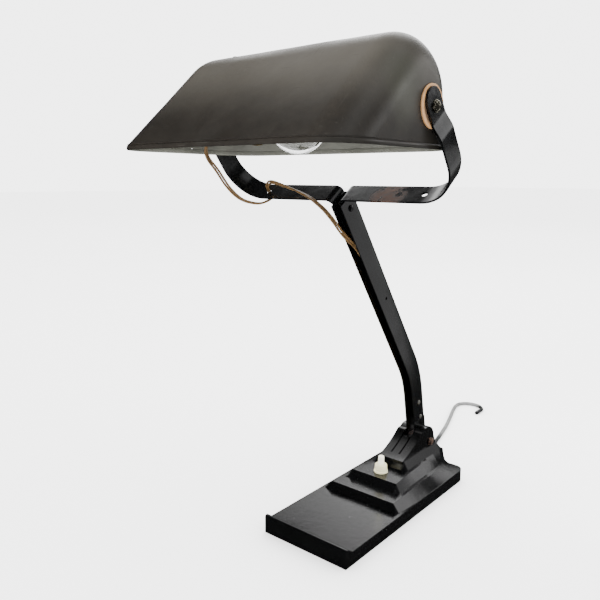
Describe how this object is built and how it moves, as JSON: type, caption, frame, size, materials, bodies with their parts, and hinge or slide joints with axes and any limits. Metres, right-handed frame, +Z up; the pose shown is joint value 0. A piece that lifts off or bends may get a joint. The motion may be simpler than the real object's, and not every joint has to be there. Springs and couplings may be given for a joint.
{
  "type": "banker desk lamp",
  "caption": "Desk lamp with a long pressed-metal hood on a strap yoke, a channel arm hinged on a stepped cast base, and a push-button switch.",
  "frame": {"origin": "on the table, under the middle of the lamp's outline (without its mains cord)", "axes": "+Z up, the lamp's front and its hood face -Y, +X is across the lamp, along the shade's pivot and the arm's hinge"},
  "size_m": [0.3232, 0.7782, 0.5936],
  "materials": {
    "base_casting": "black stoving enamel, glossy, chipped at the edges",
    "bottom_cover": "plain dull steel plate",
    "felt_pad": "green felt",
    "cover_screws": "plain steel",
    "switch_body": "ivory moulding",
    "switch_collar": "ivory moulding, semi-gloss",
    "switch_button": "ivory moulding, semi-gloss",
    "switch_spring": "spring wire",
    "terminal_block": "brown moulding",
    "cord_grommet": "black rubber",
    "mains_cord": "grey rubber sheath, darker near the lamp",
    "cord_end_sleeve": "black tape",
    "hinge_bolt": "steel with brown rust",
    "hinge_nut": "steel with brown rust",
    "hinge_washers": "dull steel",
    "arm_channel": "black enamel, worn grey at the edges",
    "arm_filler": "black packing block",
    "arm_screws": "dull plated steel",
    "yoke_strip_left": "black enamel, worn",
    "yoke_strip_right": "black enamel, worn, with brown rust",
    "yoke_bolt": "dark steel",
    "yoke_spacer": "dark steel",
    "yoke_nut": "dark steel",
    "shade_shell": "dark bronze-grey lacquer, satin, clouded",
    "fibre_washers": "tan vulcanised fibre",
    "pivot_bolts": "darkened steel",
    "pivot_cup_washers": "plated steel",
    "pivot_nuts": "plated steel",
    "socket_bracket": "zinc-plated strip",
    "bracket_screws": "lacquered steel",
    "socket_shell": "aged brass",
    "socket_ring": "aged brass",
    "socket_core": "white porcelain",
    "bulb_glass": "clear glass",
    "bulb_cap": "rolled aluminium",
    "bulb_mount": "glass stem and wires",
    "flex_head": "gold-brown braid",
    "flex_loop": "gold-brown braid",
    "flex_arm": "gold-brown braid",
    "flex_foot": "gold-brown braid"
  },
  "bodies": {
    "base": {"base_casting": "base_casting", "bottom_cover": "bottom_cover", "felt_pad": "felt_pad", "cover_screws": "cover_screws", "switch_body": "switch_body", "switch_collar": "switch_collar", "switch_spring": "switch_spring", "terminal_block": "terminal_block", "cord_grommet": "cord_grommet", "mains_cord": "mains_cord", "cord_end_sleeve": "cord_end_sleeve", "hinge_bolt": "hinge_bolt", "hinge_nut": "hinge_nut", "hinge_washers": "hinge_washers", "flex_foot": "flex_foot"},
    "button": {"switch_button": "switch_button"},
    "arm": {"arm_channel": "arm_channel", "arm_filler": "arm_filler", "arm_screws": "arm_screws", "yoke_strip_left": "yoke_strip_left", "yoke_strip_right": "yoke_strip_right", "yoke_bolt": "yoke_bolt", "yoke_spacer": "yoke_spacer", "yoke_nut": "yoke_nut", "flex_arm": "flex_arm", "flex_loop": "flex_loop"},
    "shade": {"shade_shell": "shade_shell", "fibre_washers": "fibre_washers", "pivot_bolts": "pivot_bolts", "pivot_cup_washers": "pivot_cup_washers", "pivot_nuts": "pivot_nuts", "socket_bracket": "socket_bracket", "bracket_screws": "bracket_screws", "socket_shell": "socket_shell", "socket_ring": "socket_ring", "socket_core": "socket_core", "bulb_glass": "bulb_glass", "bulb_cap": "bulb_cap", "bulb_mount": "bulb_mount", "flex_head": "flex_head"}
  },
  "joints": [
    {"name": "arm_tilt", "type": "hinge", "parent": "base", "child": "arm", "pos_m": [0, 0.2008, 0.0585], "axis": [1, 0, 0], "range_deg": [-25, 15], "deforming": ["flex_foot"]},
    {"name": "shade_tilt", "type": "hinge", "parent": "arm", "child": "shade", "pos_m": [0, -0.07992, 0.52289], "axis": [1, 0, 0], "range_deg": [-55, 70], "deforming": ["flex_loop"]},
    {"name": "switch_press", "type": "slide", "parent": "base", "child": "button", "axis": [0, 0, -1], "range_m": [0, 0.004], "stiffness_N_per_m": 600, "springref_m": -0.002, "deforming": ["switch_spring"]}
  ]
}
